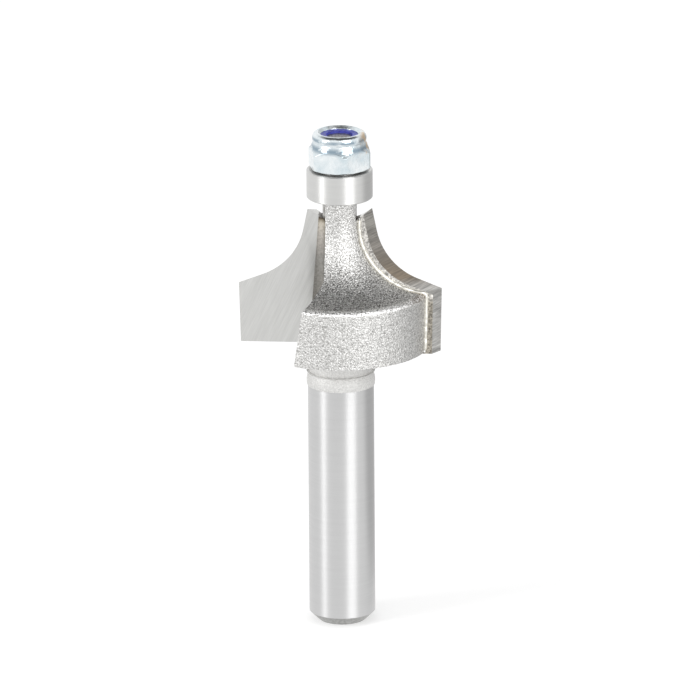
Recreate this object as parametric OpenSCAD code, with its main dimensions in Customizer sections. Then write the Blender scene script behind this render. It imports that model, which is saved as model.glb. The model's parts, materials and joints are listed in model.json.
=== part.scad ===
// Two-flute corner-rounding router bit with a guide bearing.
// It stands on the foot of its shank, and its axis is Z.
// Seen from the nut it cuts counter-clockwise.

/* [Shank] */
// Diameter of the shank, a quarter inch
shank_d = 6.35; // [5:0.05:8]
// Length of the ground shank, from its foot to the collar
shank_len = 23.7; // [18:0.1:40]
// Width of the bevel round the foot
foot_bevel = 0.9; // [0.3:0.05:1.4]

/* [Collar] */
// Height from the ground shank to the underside of the wings
collar_h = 3.9; // [3:0.1:8]
// How far the bead of the collar stands proud of the shank
bead_proud = 0.125; // [0.05:0.005:0.3]
// Radius of the rounded shoulder of the bead
bead_round = 1.9; // [1.6:0.1:3]
// Height of the bead's widest place above the ground shank
bead_rise = 0.4; // [0.2:0.05:0.8]
// How far the neck over the bead is undercut below the shank's radius
neck_undercut = 0.15; // [0.1:0.05:0.6]

/* [Cutting edge] */
// Radius of the concave cutting arc, a quarter inch
arc_r = 6.35; // [5:0.05:8]
// Lean of the edge from the axis at the bearing end of the arc, in degrees
top_lean = 11.9; // [6:0.1:16]
// Length of the straight edge over the arc
top_run = 2.2; // [1:0.1:3]
// Lean of the edge from the axis at the outer end of the arc, in degrees
outer_lean = 68.8; // [62:0.1:74]
// Length of the straight edge outside the arc
outer_run = 2.5; // [1:0.1:3]
// Height of the straight outer edge under the arc
edge_h = 6.1; // [4:0.1:9]
// Back taper of the outer edge, in degrees
edge_taper = 0.9; // [0:0.1:2]
// How far the top of the edge lies inside the rim of the bearing
edge_inset = 0.1; // [0:0.02:0.3]

/* [Carbide tips] */
// Thickness of a tip
tip_t = 1.1; // [0.8:0.05:1.6]
// Thickness of the solder between a tip and its seat
braze_t = 0.12; // [0.06:0.01:0.25]
// How far the solder shows outside the wing
braze_proud = 0.12; // [0.04:0.01:0.3]
// How far the ground land falls back over the thickness of a tip
tip_relief = 0.77; // [0.3:0.01:1.1]
// How far that land also falls down over the thickness of a tip
tip_fall = 0.36; // [0.1:0.02:0.6]
// How far a tip reaches below the underside of its wing
tip_drop = 0.17; // [0.05:0.01:0.5]
// Distance of a tip's inner edge from the axis, at the corner of the cutting edge
tip_inner_x = 2.6; // [2.2:0.05:3.2]
// Lean of a tip's inner edge from the axis, in degrees
tip_inner_lean = 4.8; // [2:0.1:6]
// Slope of the ground top of a tip, in degrees
tip_top_slope = 31; // [15:1:40]
// How far the rake face lies behind the axis, at the corner of the cutting edge
rake_back = 0.37; // [0:0.01:0.8]
// Shear of the rake face and the flute, in degrees
shear = 5.4; // [0:0.1:8]

/* [Wings] */
// How far the tips stand proud of the wings
wing_inset = 1.32; // [1:0.02:1.8]
// How far the top edge of a wing lies below the corner of the cutting edge
wing_drop = 0.27; // [0:0.01:0.8]
// Radius added to the cutting arc for the hollow over the wings
hollow_extra = 0.5; // [0.2:0.05:1.5]
// Radius of the neck under the bearing
neck_r = 2.05; // [1.9:0.01:2.4]
// Rounding of the blasted edge round the top of a wing
wing_round = 0.45; // [0.1:0.05:0.6]
// Length of the plain neck between the tips and the bearing
neck_clear = 1.2; // [0.6:0.05:3]

/* [Flutes] */
// Half of the thickness of the core between the flutes
core_half = 1.27; // [1.1:0.01:1.5]
// Radius at the root of a flute, beside the rake face
flute_fillet = 1; // [0.5:0.05:1.2]
// How far the flutes run down past the underside of the wings
flute_runout = 0.6; // [0.2:0.05:1.2]
// Angle of the trailing face of a wing from the rake face, in degrees
trail_angle = 69.2; // [62:0.1:76]
// Lean of the trailing face from the axis, in degrees
trail_lean = 9.3; // [4:0.1:12]

/* [Bearing] */
// Bore of the bearing, an eighth of an inch
bearing_bore = 3.175; // [3.1:0.005:3.2]
// Outside diameter of the bearing, a quarter inch
bearing_od = 6.35; // [6.3:0.01:6.6]
// Width of the bearing
bearing_w = 2.779; // [2.6:0.001:3.2]
// Rounding of the bearing's corners
bearing_round = 0.08; // [0.04:0.01:0.12]
// Rounding of the edges between the two rings
land_round = 0.03; // [0.01:0.01:0.05]
// Diameter of a ball
ball_d = 1; // [0.9:0.01:1.05]
// Running gap between a ball and its raceways
ball_gap = 0.01; // [0.005:0.001:0.02]
// Radius of the raceway grooves, as a share of the ball's diameter
groove_share = 0.54; // [0.52:0.01:0.58]
// Wall of the inner ring at its shoulders
inner_wall = 0.5; // [0.44:0.01:0.55]
// Wall of the outer ring at its shoulders
outer_wall = 0.5; // [0.44:0.01:0.55]
// Thickness of the ball cage
cage_t = 0.34; // [0.2:0.01:0.38]
// Height of the ball cage
cage_h = 1.3; // [1.24:0.01:1.36]
// Gap between a ball and its pocket in the cage
pocket_gap = 0.03; // [0.02:0.005:0.05]
// Thickness of a shield
shield_t = 0.12; // [0.08:0.01:0.15]
// Thickness of the ring that holds a shield
shield_ring_t = 0.11; // [0.08:0.01:0.14]
// Width of the ring that holds a shield
shield_ring_w = 0.35; // [0.28:0.01:0.4]
// How far that ring lies inside the face of the bearing
shield_ring_in = 0.02; // [0.01:0.01:0.05]
// Gap between a shield and the inner ring
shield_gap = 0.06; // [0.03:0.01:0.1]
// Depth of the shield's seat in the outer ring's wall
shield_seat = 0.22; // [0.15:0.01:0.26]

/* [Pilot and nut] */
// Clearance of the bearing's bore on the pilot
pilot_gap = 0.006; // [0.004:0.001:0.02]
// Outside diameter of the thread on the pilot
thread_d = 2.95; // [2.8:0.01:3]
// How far the end of the pilot lies below the top of the nut
stud_recess = 0.55; // [0.5:0.05:1.2]
// Bevel round the end of the pilot
stud_bevel = 0.2; // [0.1:0.05:0.4]
// Clearance of the nut's thread
thread_gap = 0.01; // [0.005:0.005:0.03]
// Thickness of the washer between the bearing and the nut
washer_t = 0.2; // [0.1:0.01:0.4]
// Outside diameter of the washer
washer_d = 4.1; // [3.9:0.05:4.15]
// Width of the nut across its flats
nut_af = 5.5; // [5.3:0.05:5.8]
// Width of the nut across its rounded corners
nut_corner_d = 6.2; // [6.1:0.02:6.3]
// Height of the nut
nut_h = 3.5; // [3.4:0.05:4.2]
// Bevel round the foot of the nut, outward and up
nut_foot_bevel = 0.15; // [0.08:0.01:0.25]
// Height of the hexagon at its corners
hex_corner_h = 1.65; // [1.4:0.05:1.8]
// Slope of the dome over the hexagon, in degrees
dome_slope = 50; // [35:1:55]
// Height of the steeper shoulder between the dome and the groove
shoulder_h = 0.45; // [0.3:0.05:0.6]
// Turn of the nut about the axis, in degrees
nut_turn = 44.5; // [0:0.5:60]
// Outside diameter of the nut's round collar
nut_collar_d = 5.2; // [5:0.02:5.25]
// Height of the fine groove round the foot of the collar
waist_h = 0.24; // [0.1:0.02:0.4]
// Depth of that groove
waist_depth = 0.06; // [0.02:0.01:0.12]
// Rounding of the rolled rim of the collar
nut_rim_r = 0.5; // [0.3:0.05:0.6]
// Thickness of the rim over the insert
nut_rim_t = 0.3; // [0.2:0.05:0.5]
// Diameter of the mouth rolled over the insert
nut_mouth_d = 3.6; // [3.4:0.05:4]
// Bevel round the mouth, as wide as it is deep
nut_mouth_bevel = 0.25; // [0.1:0.01:0.28]
// Height of the nylon insert
insert_h = 1.15; // [0.9:0.05:1.2]
// Outside diameter of the nylon insert
insert_d = 4.3; // [4.1:0.05:4.4]
// Bore of the nylon insert above the end of the pilot
insert_bore = 2.55; // [2.3:0.05:2.7]

/* [Hidden] */

FINE = 96;
SMALL = 48;
// Reach of the cutting shapes past what they cut
over = 2;
// Slack between pieces of one body that sit tight in each other
tight = 0.004;
// The balls are separate nodes
ball_count = 8;

// Heights up the axis
wing_z = shank_len + collar_h;
tip_z = wing_z - tip_drop;
corner_z = tip_z + edge_h;
arc_low_z = corner_z + outer_run * cos(outer_lean);
arc_z = arc_low_z + arc_r * sin(outer_lean);
arc_high_z = arc_z - arc_r * sin(top_lean);
tip_top_z = arc_high_z + top_run * cos(top_lean);
shoulder_z = tip_top_z + neck_clear;
bearing_top_z = shoulder_z + bearing_w;
nut_z = bearing_top_z + washer_t;
nut_top_z = nut_z + nut_h;
stud_z = nut_top_z - stud_recess;
bearing_mid_z = shoulder_z + bearing_w / 2;

// Radii of the cutting edge
tip_top_r = bearing_od / 2 - edge_inset;
arc_high_r = tip_top_r + top_run * sin(top_lean);
arc_x = arc_high_r + arc_r * cos(top_lean);
arc_low_r = arc_x - arc_r * cos(outer_lean);
corner_r = arc_low_r + outer_run * sin(outer_lean);
bottom_r = corner_r - (edge_h + over) * tan(edge_taper);

// Wings and the hollow over them
wing_r = corner_r - wing_inset;
wing_top_z = corner_z - wing_drop;
hollow_r = arc_r + hollow_extra;
hollow_x = neck_r + hollow_r;
hollow_z = wing_top_z + sqrt(hollow_r * hollow_r - pow(hollow_x - wing_r, 2));
bead_r = shank_d / 2 + bead_proud;
bead_z = shank_len + bead_rise;
root_neck_r = shank_d / 2 - neck_undercut;
bead_top_z = bead_z + sqrt(bead_round * bead_round - pow(root_neck_r - bead_r + bead_round, 2));

// Seats of the tips, measured from the rake face
seat_depth = tip_t + braze_t;
head_reach = corner_r + over;
head_h = shoulder_z - wing_z;

// Bearing
pitch_r = (bearing_bore + bearing_od) / 4;
groove_r = ball_d * groove_share;
groove_shift = groove_r - ball_d / 2 - ball_gap;
inner_r = bearing_bore / 2;
inner_land_r = inner_r + inner_wall;
outer_land_r = bearing_od / 2 - outer_wall;
shield_r = outer_land_r + shield_seat;
shield_in_r = inner_land_r + shield_gap;
shield_ring_in_r = shield_r - shield_ring_w;
shield_pack = shield_ring_in + shield_ring_t + shield_t;
pilot_r = inner_r - pilot_gap;

// Nut
dome_z = nut_z + hex_corner_h + (nut_corner_d - nut_af) / 2 * tan(dome_slope);
waist_z = dome_z + shoulder_h;
insert_z = nut_top_z - nut_rim_t - insert_h;
thread_r = thread_d / 2;
nut_bore_r = thread_r + thread_gap;

// Cutting edge as a filled outline in X and Y, with Y up the axis, open past its foot.
// The chord across the arc is cut back to the true arc.
module edge_outline() {
  difference() {
    polygon([
      [0, tip_z - over],
      [bottom_r, tip_z - over],
      [corner_r, corner_z],
      [arc_low_r, arc_low_z],
      [arc_high_r, arc_high_z],
      [tip_top_r, tip_top_z],
      [0, tip_top_z - tip_top_r * tan(tip_top_slope)]
    ]);
    translate([arc_x, arc_z]) circle(r = arc_r, $fn = FINE);
  }
}

// What lies outside the leaning inner edge of a tip, between two heights
module outside_inner_edge(inner_x, low, high) {
  lean = tan(tip_inner_lean);
  polygon([
    [inner_x + (corner_z - low) * lean, low],
    [head_reach, low],
    [head_reach, high],
    [inner_x + (corner_z - high) * lean, high]
  ]);
}

// Lays what is drawn in X and Y, with its thickness down -Z, against the rake face of the +X tip.
// The face looks along +Y and leads with height by the shear.
module on_rake_face() {
  t = tan(shear);
  translate([0, -rake_back - corner_z * t, 0])
    multmatrix([[1, 0, 0, 0], [0, t, 1, 0], [0, 1, 0, 0], [0, 0, 0, 1]])
      children();
}

// A slab behind the rake face, from one depth to another, whose outline shifts inward and down
module slab_behind_rake(from, to, inward = 0, down = 0) {
  i = inward / (to - from);
  d = down / (to - from);
  on_rake_face()
    multmatrix([[1, 0, i, i * from], [0, 1, d, d * from], [0, 0, 1, 0], [0, 0, 0, 1]])
      translate([0, 0, -to]) linear_extrude(height = to - from) children();
}

// Second of two pieces that lie opposite each other about the axis
module opposite() rotate([0, 0, 180]) children();

// Profile of the turned blank, from the foot of the shank to the shoulder under the bearing
module blank_profile(grow = 0) {
  r = wing_r + grow;
  difference() {
    polygon([
      [0, 0],
      [shank_d / 2 - foot_bevel, 0],
      [shank_d / 2, foot_bevel],
      [shank_d / 2, shank_len],
      [bead_r, shank_len],
      [bead_r, bead_top_z],
      [root_neck_r, bead_top_z],
      [root_neck_r, wing_z],
      [r, wing_z],
      [r, hollow_z],
      [neck_r + grow, hollow_z],
      [neck_r + grow, shoulder_z],
      [0, shoulder_z]
    ]);
    translate([hollow_x, hollow_z]) circle(r = hollow_r - grow, $fn = FINE);
    wing_edge_rounding(r, hollow_r - grow);
    bead_rounding();
  }
}

// Waste over the top edge of a wing, outside a rounding that runs into the hollow
module wing_edge_rounding(r, hollow) {
  x = r - wing_round;
  z = hollow_z - sqrt(pow(hollow + wing_round, 2) - pow(hollow_x - x, 2));
  difference() {
    translate([x, z]) square([wing_round + over, hollow_z + over - z]);
    translate([x, z]) circle(r = wing_round, $fn = SMALL);
  }
}

// Waste round the bead of the collar, outside its rounded shoulder
module bead_rounding() {
  difference() {
    translate([bead_r - bead_round, shank_len - over])
      square([bead_round + over, bead_top_z - shank_len + over]);
    translate([bead_r - bead_round, bead_z]) circle(r = bead_round, $fn = FINE);
    translate([0, shank_len - 2 * over]) square([shank_d / 2, 2 * over]);
  }
}

module blank() {
  rotate_extrude($fn = FINE) blank_profile();
}

// Void of the flute in front of the +X tip: rake side, rounded root, core and trailing face
module flute() {
  lead = tan(shear);
  foot_z = wing_z - flute_runout;
  difference() {
    translate([0, (foot_z - corner_z) * lead - rake_back, foot_z])
      multmatrix([[1, 0, 0, 0], [0, 1, lead, 0], [0, 0, 1, 0], [0, 0, 0, 1]])
        linear_extrude(height = shoulder_z - foot_z) flute_section();
    trailing_half();
  }
}

// Section of a flute across the axis, with its root rounded beside the rake face
module flute_section() {
  difference() {
    translate([core_half, 0]) square([head_reach, head_reach]);
    difference() {
      translate([core_half - over, -over]) square([flute_fillet + over, flute_fillet + over]);
      translate([core_half + flute_fillet, flute_fillet]) circle(r = flute_fillet, $fn = FINE);
    }
  }
}

// Everything behind the trailing face of the wing that closes the flute
module trailing_half() {
  size = 2 * head_reach + head_h;
  translate([0, 0, corner_z])
    rotate([0, 0, trail_angle - 90])
      rotate([0, -trail_lean, 0])
        translate([-size, -size / 2, -size / 2]) cube(size);
}

// Room for one tip and its solder in the wing, open outward and to the flute
module tip_seat() {
  slab_behind_rake(-over, seat_depth)
    outside_inner_edge(tip_inner_x - braze_t, tip_z - tight, tip_top_z);
}

// Seat of the bearing, then the thread with its bevelled end
module pilot() {
  translate([0, 0, shoulder_z - over]) cylinder(r = pilot_r, h = over + bearing_w, $fn = FINE);
  translate([0, 0, bearing_top_z - over])
    cylinder(r = thread_r, h = stud_z - stud_bevel - bearing_top_z + over, $fn = FINE);
  translate([0, 0, stud_z - stud_bevel])
    cylinder(r1 = thread_r, r2 = thread_r - stud_bevel, h = stud_bevel, $fn = FINE);
}

module cutter_body() {
  color([0.66, 0.65, 0.63]) {
    difference() {
      blank();
      flute();
      opposite() flute();
      tip_seat();
      opposite() tip_seat();
    }
    pilot();
  }
}

// The ground edge falls back over the thickness, and the inner edge and the foot do not
module carbide_tip() {
  color([0.72, 0.71, 0.69])
    intersection() {
      slab_behind_rake(0, tip_t, tip_relief, tip_fall) edge_outline();
      slab_behind_rake(-over, tip_t + over) outside_inner_edge(tip_inner_x, tip_z, tip_top_z + over);
    }
}

module carbide_tip_a() carbide_tip();
module carbide_tip_b() opposite() carbide_tip();

// Solder on the back and the inner edge of a tip, with a bead round the outside of the wing
module braze_seam() {
  color([0.85, 0.84, 0.8])
    difference() {
      intersection() {
        slab_behind_rake(0, seat_depth - tight)
          outside_inner_edge(tip_inner_x - braze_t + tight, tip_z, tip_top_z - tight);
        rotate_extrude($fn = FINE) blank_profile(braze_proud);
      }
      slab_behind_rake(-over, tip_t + tight)
        outside_inner_edge(tip_inner_x - tight, tip_z - over, tip_top_z + over);
    }
}

module braze_seam_a() braze_seam();
module braze_seam_b() opposite() braze_seam();

// Turned ring with rounded corners, drawn in the bearing's own height
module ring_section(r1, r2, h, round_in, round_out) {
  polygon([
    [r1 + round_in, 0],
    [r2 - round_out, 0],
    [r2, round_out],
    [r2, h - round_out],
    [r2 - round_out, h],
    [r1 + round_in, h],
    [r1, h - round_in],
    [r1, round_in]
  ]);
}

module inner_race() {
  color([0.78, 0.78, 0.78])
    translate([0, 0, shoulder_z])
      rotate_extrude($fn = FINE)
        difference() {
          ring_section(inner_r, inner_land_r, bearing_w, bearing_round, land_round);
          translate([pitch_r + groove_shift, bearing_w / 2]) circle(r = groove_r, $fn = SMALL);
        }
}

// The two seats of the shields are stepped into the bore
module outer_race() {
  color([0.8, 0.8, 0.79])
    translate([0, 0, shoulder_z])
      rotate_extrude($fn = FINE)
        difference() {
          ring_section(outer_land_r, bearing_od / 2, bearing_w, land_round, bearing_round);
          translate([pitch_r - groove_shift, bearing_w / 2]) circle(r = groove_r, $fn = SMALL);
          for (z = [shield_pack - over, bearing_w - shield_pack])
            translate([0, z]) square([shield_r + tight, over]);
        }
}

module ball(i) {
  color([0.86, 0.86, 0.87])
    rotate([0, 0, i * 360 / ball_count])
      translate([pitch_r, 0, bearing_mid_z]) sphere(d = ball_d, $fn = SMALL);
}

module ball_1() ball(0);
module ball_2() ball(1);
module ball_3() ball(2);
module ball_4() ball(3);
module ball_5() ball(4);
module ball_6() ball(5);
module ball_7() ball(6);
module ball_8() ball(7);

// One ring with a round pocket for each ball
module ball_cage() {
  color([0.75, 0.68, 0.5])
    difference() {
      translate([0, 0, bearing_mid_z - cage_h / 2])
        rotate_extrude($fn = FINE)
          translate([pitch_r - cage_t / 2, 0]) square([cage_t, cage_h]);
      for (i = [0 : ball_count - 1])
        rotate([0, 0, i * 360 / ball_count])
          translate([inner_r, 0, bearing_mid_z])
            rotate([0, 90, 0]) cylinder(d = ball_d + 2 * pocket_gap, h = bearing_od, $fn = SMALL);
    }
}

// Flat disc, seated in the step of the outer ring
module shield() {
  color([0.7, 0.7, 0.7])
    rotate_extrude($fn = FINE)
      translate([shield_in_r, 0]) square([shield_r - shield_in_r, shield_t]);
}

// Sprung ring that keeps a shield in its step
module shield_ring() {
  color([0.6, 0.6, 0.6])
    rotate_extrude($fn = FINE)
      translate([shield_ring_in_r, 0]) square([shield_ring_w, shield_ring_t]);
}

module lower_shield() translate([0, 0, shoulder_z + shield_pack - shield_t]) shield();
module upper_shield() translate([0, 0, bearing_top_z - shield_pack]) shield();
module lower_shield_ring() translate([0, 0, shoulder_z + shield_ring_in]) shield_ring();
module upper_shield_ring() translate([0, 0, bearing_top_z - shield_ring_in - shield_ring_t]) shield_ring();

// Presses on the inner ring alone, so that the outer ring turns freely
module spacer_washer() {
  color([0.6, 0.6, 0.6])
    translate([0, 0, bearing_top_z])
      rotate_extrude($fn = FINE)
        translate([nut_bore_r, 0]) square([washer_d / 2 - nut_bore_r, washer_t]);
}

// Half-section of the nut without its hexagon: foot, dome, shoulder, groove, collar and rolled rim
module nut_profile() {
  collar_r = nut_collar_d / 2;
  corner = nut_corner_d / 2;
  rim_z = nut_top_z - nut_rim_r;
  polygon([
    [0, nut_z],
    [corner - 2 * nut_foot_bevel, nut_z],
    [corner, nut_z + nut_foot_bevel],
    [corner, nut_z + hex_corner_h],
    [nut_af / 2, dome_z],
    [collar_r, waist_z],
    [collar_r - waist_depth, waist_z + waist_h / 2],
    [collar_r, waist_z + waist_h],
    [collar_r, rim_z],
    [collar_r - nut_rim_r, nut_top_z],
    [0, nut_top_z]
  ]);
  translate([collar_r - nut_rim_r, rim_z]) circle(r = nut_rim_r, $fn = SMALL);
}

module lock_nut() {
  color([0.82, 0.84, 0.87])
    difference() {
      intersection() {
        rotate_extrude($fn = FINE) nut_profile();
        translate([0, 0, nut_z - over])
          rotate([0, 0, nut_turn])
            linear_extrude(height = nut_h + 2 * over) circle(d = nut_af / cos(30), $fn = 6);
      }
      // Bore of the thread, with a bevel at the foot
      translate([0, 0, nut_z - over]) cylinder(r = nut_bore_r, h = nut_h + over, $fn = FINE);
      translate([0, 0, nut_z - tight])
        cylinder(r1 = nut_bore_r + nut_foot_bevel, r2 = nut_bore_r - tight, h = nut_foot_bevel, $fn = FINE);
      // Seat of the insert, and the bevelled mouth of the rim rolled over it
      translate([0, 0, insert_z]) cylinder(d = insert_d + 2 * tight, h = insert_h, $fn = FINE);
      translate([0, 0, insert_z]) cylinder(d = nut_mouth_d, h = insert_h + over, $fn = FINE);
      translate([0, 0, nut_top_z - nut_mouth_bevel])
        cylinder(r1 = nut_mouth_d / 2, r2 = nut_mouth_d / 2 + over, h = over, $fn = FINE);
    }
}

// Nylon ring. The pilot has cut its way into the lower part of its bore.
module nylon_insert() {
  color([0.2, 0.25, 0.7])
    difference() {
      translate([0, 0, insert_z]) cylinder(d = insert_d, h = insert_h, $fn = FINE);
      translate([0, 0, insert_z - over]) cylinder(d = insert_bore, h = insert_h + 2 * over, $fn = FINE);
      translate([0, 0, insert_z - over])
        cylinder(r = nut_bore_r, h = stud_z - insert_z + over + thread_gap, $fn = FINE);
    }
}

cutter_body();
carbide_tip_a();
carbide_tip_b();
braze_seam_a();
braze_seam_b();
inner_race();
outer_race();
ball_cage();
ball_1();
ball_2();
ball_3();
ball_4();
ball_5();
ball_6();
ball_7();
ball_8();
lower_shield();
upper_shield();
lower_shield_ring();
upper_shield_ring();
spacer_washer();
lock_nut();
nylon_insert();
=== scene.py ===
"""Looks of a corner-rounding router bit with a guide bearing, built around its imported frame."""
import json
import math

import bmesh
import bpy
from mathutils import Matrix, Vector, noise
from mathutils.bvhtree import BVHTree
from mathutils.geometry import barycentric_transform


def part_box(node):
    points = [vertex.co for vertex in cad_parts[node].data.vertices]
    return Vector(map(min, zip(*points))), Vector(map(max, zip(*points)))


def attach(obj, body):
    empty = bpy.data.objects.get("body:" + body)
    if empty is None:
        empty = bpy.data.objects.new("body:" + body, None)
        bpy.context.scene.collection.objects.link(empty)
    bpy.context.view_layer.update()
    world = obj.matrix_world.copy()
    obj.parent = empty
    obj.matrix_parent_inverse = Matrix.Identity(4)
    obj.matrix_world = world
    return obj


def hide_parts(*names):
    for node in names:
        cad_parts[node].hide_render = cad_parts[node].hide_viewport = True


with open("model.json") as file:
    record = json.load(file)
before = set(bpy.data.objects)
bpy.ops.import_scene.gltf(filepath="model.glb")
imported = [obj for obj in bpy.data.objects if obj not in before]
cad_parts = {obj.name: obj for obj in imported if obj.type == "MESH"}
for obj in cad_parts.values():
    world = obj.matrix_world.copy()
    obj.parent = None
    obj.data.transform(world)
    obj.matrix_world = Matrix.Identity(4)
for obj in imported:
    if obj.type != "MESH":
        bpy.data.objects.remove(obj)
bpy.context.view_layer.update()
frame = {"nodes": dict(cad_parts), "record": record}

MM = 0.001
NODES = frame["nodes"]
SHANK = next(mount for mount in frame["record"]["mounts"] if mount["name"] == "shank")

# Heights and reaches that the frame gives
SHANK_LEN = SHANK["dims"]["length_mm"] * MM
SHANK_MID_Z = SHANK["pos_m"][2]
SHANK_TOP = SHANK_MID_Z + SHANK_LEN / 2
FOOT_TOP = SHANK_MID_Z - SHANK_LEN / 2
WING_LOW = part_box("braze_seam_a")[0].z
WING_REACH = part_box("braze_seam_a")[1].x
TIP_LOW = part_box("carbide_tip_a")[0].z
TIP_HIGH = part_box("carbide_tip_a")[1].z
BEARING_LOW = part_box("outer_race")[0].z
BEARING_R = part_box("outer_race")[1].x
NUT_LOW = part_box("lock_nut")[0].z

# Length of a tip's straight outer edge, the height of its corner, and the upper end of a solder bead
EDGE_H = 6.1 * MM
CORNER_Z = TIP_LOW + EDGE_H
BEAD_TOP = TIP_HIGH - 0.85 * MM

# Heights of the nut's dome and of the hollow under its rim
DOME_Z = NUT_LOW + 2.2 * MM
UNDER_RIM_Z = NUT_LOW + 3.0 * MM

# Half of the core between the flutes, how deep a flute's root is followed, and the reach of its floor
CORE_HALF = 1.27 * MM
FLUTE_DEPTH = 2.6 * MM
TIP_INNER = 3.3 * MM

# Flats of the neck beside the tips' tops: half of their distance, how far out the wheel cleared, how
# far past the lower face of the bearing, a top's slope in degrees, and its outer end from the axis
NECK_HALF = 1.6 * MM
NOTCH_REACH = 3.5 * MM
NOTCH_OVER = 0.5 * MM
TIP_TOP_SLOPE = 31
TIP_TOP_R = 3.075 * MM

# What tells faces apart: the slack in a height or depth, the distance at which two points are one,
# how far a notch and a tip's top reach down, and cosines of the angle to the way that a face looks
SLACK = 0.01 * MM
SAME_PLACE = 0.0005 * MM
NOTCH_DROP = 1.2 * MM
TOP_DROP = 2.0 * MM
HARDLY_UP = 0.5
MOSTLY_UP = 0.7
SEAM_SQUARE = 0.9
TIP_SQUARE = 0.95
SAME_WAY = 0.99

# The object that shows each node, which is the node itself unless a piece stands for it
SHOWN = dict(NODES)

# Where the photograph was taken from: turns in degrees, and the lens and its frame in millimetres
CAMERA_AZIMUTH = 4.57
CAMERA_ELEVATION = 17.5
CAMERA_ROLL = 0.37
CAMERA_DISTANCE = 1402 * MM
CAMERA_LENS = 752
CAMERA_FRAME = 36
NEAREST_SEEN = 0.1
FARTHEST_SEEN = 20
AIM_HEIGHT = 27.0 * MM
AIM_RIGHT = 0.89 * MM


def seam_back():
    """The face of the first seam that lies against the wing: a point on it and the way that it looks."""
    mesh = NODES["braze_seam_a"].data
    face = max(mesh.polygons, key=lambda one: -one.normal.y * one.area)
    return mesh.vertices[face.vertices[0]].co.copy(), face.normal.copy()


SEAM_POINT, SEAM_NORMAL = seam_back()


def depth_in_seam(point):
    """How far a point lies behind the first seam. It is negative towards the flute."""
    return (point - SEAM_POINT).dot(SEAM_NORMAL)


RAKE_DEPTH = min(depth_in_seam(vertex.co) for vertex in NODES["carbide_tip_a"].data.vertices)


def add_object(name, data):
    """A new object, put in the scene."""
    made = bpy.data.objects.new(name, data)
    bpy.context.scene.collection.objects.link(made)
    return made


def way_to(azimuth, elevation):
    """The way from the bit to a place round it. Azimuth runs from the front towards +X, in degrees."""
    turn = math.radians(azimuth)
    lift = math.radians(elevation)
    return Vector((math.sin(turn) * math.cos(lift), -math.cos(turn) * math.cos(lift), math.sin(lift)))


# Helpers for node trees

def node(tree, kind, inputs=None, **settings):
    """A new node with its settings, and with its inputs given as values or as sockets to link."""
    made = tree.nodes.new(kind)
    for name, value in settings.items():
        setattr(made, name, value)
    for name, value in (inputs or {}).items():
        if isinstance(value, bpy.types.NodeSocket):
            tree.links.new(value, made.inputs[name])
        else:
            made.inputs[name].default_value = value
    return made


def math_node(tree, operation, first, second=0.0):
    return node(tree, "ShaderNodeMath", {0: first, 1: second}, operation=operation).outputs[0]


def times(tree, *values):
    """The product of two or more values."""
    product = values[0]
    for value in values[1:]:
        product = math_node(tree, "MULTIPLY", product, value)
    return product


def rest_of(tree, value):
    """What a value leaves of 1."""
    return math_node(tree, "SUBTRACT", 1.0, value)


def blended(tree, first, second, share):
    """Two values added up, the first by its share and the second by the rest."""
    return math_node(tree, "ADD", times(tree, first, share), times(tree, second, 1.0 - share))


def remap(tree, value, low, high, to_low=0.0, to_high=1.0, smooth=False):
    """A value brought from one range to another, and held inside it."""
    kind = "SMOOTHSTEP" if smooth else "LINEAR"
    inputs = {"Value": value, "From Min": low, "From Max": high, "To Min": to_low, "To Max": to_high}
    return node(tree, "ShaderNodeMapRange", inputs, interpolation_type=kind).outputs["Result"]


def band(tree, value, middle, reach):
    """A soft mask that is 1 at the middle and 0 from a reach to either side."""
    away = math_node(tree, "ABSOLUTE", math_node(tree, "SUBTRACT", value, middle))
    return remap(tree, away, 0.0, reach, 1.0, 0.0, smooth=True)


def vector_node(tree, operation, first, second=(0.0, 0.0, 0.0)):
    """Sums with vectors. A dot product or a length comes out as a value, and the rest as a vector."""
    made = node(tree, "ShaderNodeVectorMath", {0: first, 1: second}, operation=operation).outputs
    return made["Value"] if operation in ("DOT_PRODUCT", "LENGTH") else made["Vector"]


def axes_of(tree, vector):
    """The parts of a vector, to be picked as X, Y and Z."""
    return node(tree, "ShaderNodeSeparateXYZ", {0: vector}).outputs


def noise_of(tree, place, scale, detail, roughness=0.5):
    inputs = {"Vector": place, "Scale": scale, "Detail": detail, "Roughness": roughness}
    return node(tree, "ShaderNodeTexNoise", inputs).outputs[0]


def mix_value(tree, share, first, second):
    return node(tree, "ShaderNodeMix", {0: share, 2: first, 3: second}).outputs[0]


def mix_colour(tree, share, first, second, blend="MIX"):
    """Two colours, given as three numbers or as sockets, mixed by the share of the second."""
    made = node(tree, "ShaderNodeMix", data_type="RGBA", blend_type=blend)
    for index, value in ((0, share), (6, first), (7, second)):
        if isinstance(value, bpy.types.NodeSocket):
            tree.links.new(value, made.inputs[index])
        elif index == 0:
            made.inputs[index].default_value = value
        else:
            made.inputs[index].default_value = (*value, 1.0)
    return made.outputs[2]


def varied(tree, colour, mask, low, high):
    """A colour times a grey that goes from low to high with a mask."""
    grey = mix_colour(tree, mask, (low, low, low), (high, high, high))
    return mix_colour(tree, 1.0, colour, grey, blend="MULTIPLY")


def stretched(tree, place, scale, turn=(0.0, 0.0, 0.0)):
    """The place turned, in degrees, and then scaled along each axis."""
    angles = [math.radians(angle) for angle in turn]
    turned = node(tree, "ShaderNodeMapping", {"Vector": place, "Rotation": angles})
    return node(tree, "ShaderNodeMapping", {"Vector": turned.outputs[0], "Scale": scale}).outputs[0]


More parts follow.
